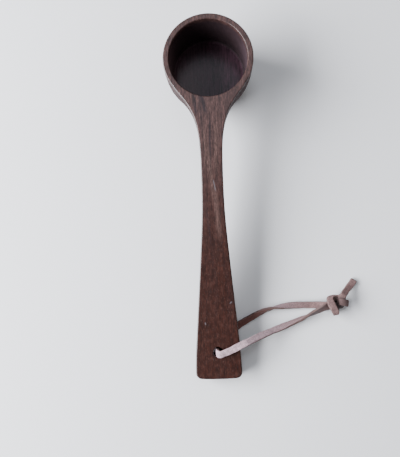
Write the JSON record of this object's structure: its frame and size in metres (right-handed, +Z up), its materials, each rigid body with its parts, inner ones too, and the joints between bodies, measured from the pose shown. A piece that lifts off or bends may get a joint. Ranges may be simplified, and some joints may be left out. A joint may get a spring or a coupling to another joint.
{
  "type": "long-handled wooden scoop",
  "caption": "Straight-walled round cup on a long flat handle, carved from one piece of walnut, with a knotted leather hanging lace through a hole near the handle's end.",
  "frame": {"origin": "on the surface the ladle stands on, under the middle of the box of the wooden piece as it comes to rest", "axes": "+Z up, +Y from the handle towards the cup, +X to the side that the lace lies on"},
  "size_m": [0.0959, 0.1844, 0.0358],
  "materials": {
    "walnut": "oiled, satin",
    "lace": "one pale suede face, one brown grain face"
  },
  "bodies": {
    "ladle": {"walnut_ladle": "walnut"},
    "lace": {"lace_over_strand": "lace", "lace_under_strand": "lace", "lace_knot": "lace", "lace_long_tail": "lace", "lace_short_tail": "lace"}
  },
  "joints": [
    {"name": "lace_swing", "type": "hinge", "parent": "ladle", "child": "lace", "pos_m": [0, -0.0788, 0.006], "axis": [0, 0, 1], "range_deg": [-30, 8]}
  ]
}
